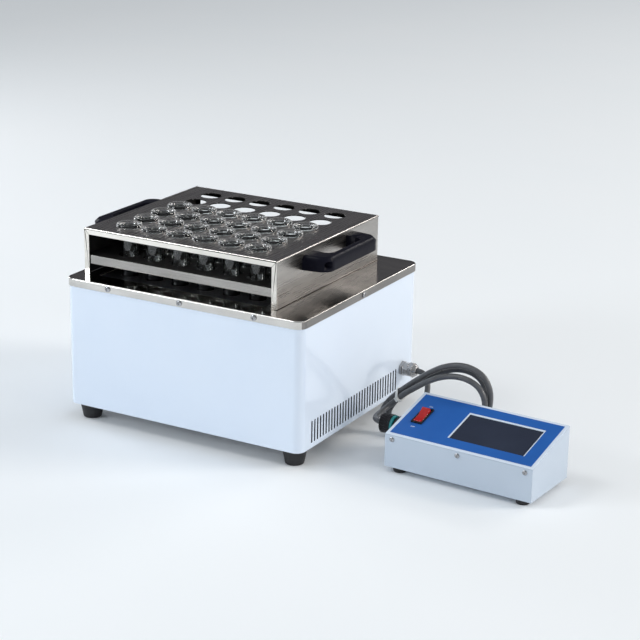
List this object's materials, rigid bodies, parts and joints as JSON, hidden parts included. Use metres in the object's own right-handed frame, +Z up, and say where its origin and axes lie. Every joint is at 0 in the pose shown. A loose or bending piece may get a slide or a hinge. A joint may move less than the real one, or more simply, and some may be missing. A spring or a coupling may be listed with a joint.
{
  "type": "block digester",
  "caption": "Bench block digester: a well block in a painted housing, a lift-out stainless tube rack with glass tubes, and a control box on a coiled lead.",
  "frame": {"origin": "on the bench, in the middle of the footprint of housing, handles and control box together", "axes": "+Z up, front towards -Y, the control box on the +X side"},
  "size_m": [0.6618, 0.3126, 0.258],
  "materials": {
    "white_paint": "smooth gloss powder coat, very slightly blue",
    "zinc_sheet": "dull zinc-plated sheet",
    "stainless": "brushed stainless sheet that mirrors what stands on it",
    "screw_steel": "bright zinc-plated screws",
    "foot_rubber": "matte black moulded rubber",
    "block_aluminium": "black hard-anodised aluminium",
    "insulation_board": "pressed fibre board",
    "heater_steel": "bare steel",
    "post_brass": "turned brass",
    "black_moulding": "satin black moulded plastic",
    "chrome_plate": "nickel-plated brass",
    "blue_panel": "satin printed panel sheet",
    "screen_glass": "dark glossy touch glass",
    "red_rocker": "translucent red moulding",
    "board_green": "circuit board",
    "teal_ring": "teal rubber seal",
    "white_tie": "natural nylon",
    "lead_jacket": "grey-black flexible jacket",
    "tube_glass": "clear borosilicate glass"
  },
  "bodies": {
    "main_unit": {"housing_shell": "white_paint", "base_plate": "zinc_sheet", "top_cover": "stainless", "housing_screws": "screw_steel", "housing_feet": "foot_rubber", "heating_block": "block_aluminium", "block_insulation": "insulation_board", "heater_plate": "heater_steel", "block_tray": "zinc_sheet", "block_posts": "post_brass", "temperature_probe": "heater_steel", "thermal_cutout": "black_moulding", "mains_inlet": "black_moulding", "solid_state_relay": "black_moulding", "gland_body": "chrome_plate", "gland_cap": "chrome_plate", "gland_locknut": "chrome_plate", "controller_box": "white_paint", "controller_lid": "white_paint", "control_panel": "blue_panel", "touch_screen": "screen_glass", "rocker_frame": "black_moulding", "controller_feet": "foot_rubber", "controller_screws": "screw_steel", "control_board": "board_green", "panel_socket": "black_moulding", "seal_ring": "teal_ring", "connector_plug": "black_moulding", "cable_tie": "white_tie", "lead": "lead_jacket"},
    "rack": {"rack_frame": "stainless", "rack_shelf": "stainless", "handle_left": "black_moulding", "handle_right": "black_moulding", "handle_screws": "screw_steel"},
    "rocker": {"rocker_button": "red_rocker"},
    "tube_01_body": {"tube_01": "tube_glass"},
    "tube_02_body": {"tube_02": "tube_glass"},
    "tube_03_body": {"tube_03": "tube_glass"},
    "tube_04_body": {"tube_04": "tube_glass"},
    "tube_05_body": {"tube_05": "tube_glass"},
    "tube_06_body": {"tube_06": "tube_glass"},
    "tube_07_body": {"tube_07": "tube_glass"},
    "tube_08_body": {"tube_08": "tube_glass"},
    "tube_09_body": {"tube_09": "tube_glass"},
    "tube_10_body": {"tube_10": "tube_glass"},
    "tube_11_body": {"tube_11": "tube_glass"},
    "tube_12_body": {"tube_12": "tube_glass"},
    "tube_13_body": {"tube_13": "tube_glass"},
    "tube_14_body": {"tube_14": "tube_glass"},
    "tube_15_body": {"tube_15": "tube_glass"},
    "tube_16_body": {"tube_16": "tube_glass"},
    "tube_17_body": {"tube_17": "tube_glass"},
    "tube_18_body": {"tube_18": "tube_glass"},
    "tube_19_body": {"tube_19": "tube_glass"},
    "tube_20_body": {"tube_20": "tube_glass"},
    "tube_21_body": {"tube_21": "tube_glass"},
    "tube_22_body": {"tube_22": "tube_glass"},
    "tube_23_body": {"tube_23": "tube_glass"},
    "tube_24_body": {"tube_24": "tube_glass"}
  },
  "joints": [
    {"name": "rack_lift", "type": "slide", "parent": "main_unit", "child": "rack", "axis": [0, 0, 1], "range_m": [0, 0.1]},
    {"name": "power_rocker", "type": "hinge", "parent": "main_unit", "child": "rocker", "pos_m": [0.15339, -0.04885, 0.05851], "axis": [-0.9982, 0.0593, 0], "range_deg": [0, 22]},
    {"name": "tube_01_lift", "type": "slide", "parent": "rack", "child": "tube_01_body", "axis": [0, 0, 1], "range_m": [0, 0.15]},
    {"name": "tube_02_lift", "type": "slide", "parent": "rack", "child": "tube_02_body", "axis": [0, 0, 1], "range_m": [0, 0.15]},
    {"name": "tube_03_lift", "type": "slide", "parent": "rack", "child": "tube_03_body", "axis": [0, 0, 1], "range_m": [0, 0.15]},
    {"name": "tube_04_lift", "type": "slide", "parent": "rack", "child": "tube_04_body", "axis": [0, 0, 1], "range_m": [0, 0.15]},
    {"name": "tube_05_lift", "type": "slide", "parent": "rack", "child": "tube_05_body", "axis": [0, 0, 1], "range_m": [0, 0.15]},
    {"name": "tube_06_lift", "type": "slide", "parent": "rack", "child": "tube_06_body", "axis": [0, 0, 1], "range_m": [0, 0.15]},
    {"name": "tube_07_lift", "type": "slide", "parent": "rack", "child": "tube_07_body", "axis": [0, 0, 1], "range_m": [0, 0.15]},
    {"name": "tube_08_lift", "type": "slide", "parent": "rack", "child": "tube_08_body", "axis": [0, 0, 1], "range_m": [0, 0.15]},
    {"name": "tube_09_lift", "type": "slide", "parent": "rack", "child": "tube_09_body", "axis": [0, 0, 1], "range_m": [0, 0.15]},
    {"name": "tube_10_lift", "type": "slide", "parent": "rack", "child": "tube_10_body", "axis": [0, 0, 1], "range_m": [0, 0.15]},
    {"name": "tube_11_lift", "type": "slide", "parent": "rack", "child": "tube_11_body", "axis": [0, 0, 1], "range_m": [0, 0.15]},
    {"name": "tube_12_lift", "type": "slide", "parent": "rack", "child": "tube_12_body", "axis": [0, 0, 1], "range_m": [0, 0.15]},
    {"name": "tube_13_lift", "type": "slide", "parent": "rack", "child": "tube_13_body", "axis": [0, 0, 1], "range_m": [0, 0.15]},
    {"name": "tube_14_lift", "type": "slide", "parent": "rack", "child": "tube_14_body", "axis": [0, 0, 1], "range_m": [0, 0.15]},
    {"name": "tube_15_lift", "type": "slide", "parent": "rack", "child": "tube_15_body", "axis": [0, 0, 1], "range_m": [0, 0.15]},
    {"name": "tube_16_lift", "type": "slide", "parent": "rack", "child": "tube_16_body", "axis": [0, 0, 1], "range_m": [0, 0.15]},
    {"name": "tube_17_lift", "type": "slide", "parent": "rack", "child": "tube_17_body", "axis": [0, 0, 1], "range_m": [0, 0.15]},
    {"name": "tube_18_lift", "type": "slide", "parent": "rack", "child": "tube_18_body", "axis": [0, 0, 1], "range_m": [0, 0.15]},
    {"name": "tube_19_lift", "type": "slide", "parent": "rack", "child": "tube_19_body", "axis": [0, 0, 1], "range_m": [0, 0.15]},
    {"name": "tube_20_lift", "type": "slide", "parent": "rack", "child": "tube_20_body", "axis": [0, 0, 1], "range_m": [0, 0.15]},
    {"name": "tube_21_lift", "type": "slide", "parent": "rack", "child": "tube_21_body", "axis": [0, 0, 1], "range_m": [0, 0.15]},
    {"name": "tube_22_lift", "type": "slide", "parent": "rack", "child": "tube_22_body", "axis": [0, 0, 1], "range_m": [0, 0.15]},
    {"name": "tube_23_lift", "type": "slide", "parent": "rack", "child": "tube_23_body", "axis": [0, 0, 1], "range_m": [0, 0.15]},
    {"name": "tube_24_lift", "type": "slide", "parent": "rack", "child": "tube_24_body", "axis": [0, 0, 1], "range_m": [0, 0.15]}
  ]
}
